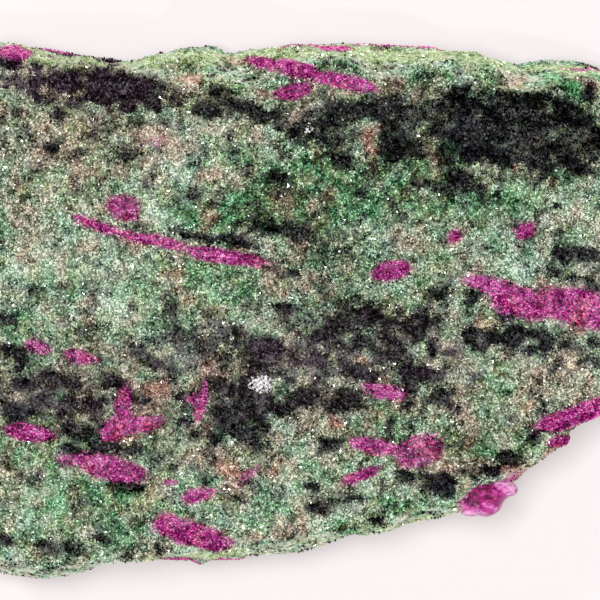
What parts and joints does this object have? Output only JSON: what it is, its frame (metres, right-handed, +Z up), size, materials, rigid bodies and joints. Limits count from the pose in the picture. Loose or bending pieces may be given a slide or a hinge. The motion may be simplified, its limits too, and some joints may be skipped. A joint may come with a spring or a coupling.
{
  "type": "ruby in zoisite specimen",
  "caption": "Rough broken slab of green zoisite rock with black patches and flat-faced ruby crystals, lying on its flat underside.",
  "frame": {"origin": "on the flat resting face, under the middle of the slab", "axes": "+X along the slab towards its narrower end, +Y across it towards its straight edge, +Z up from the resting face"},
  "size_m": [0.0834, 0.0549, 0.0203],
  "materials": {
    "ruby_zoisite_rock": "rough sugary break of green zoisite with black hornblende and pink ruby"
  },
  "bodies": {
    "root": {"zoisite_stone": "ruby_zoisite_rock"}
  },
  "joints": []
}
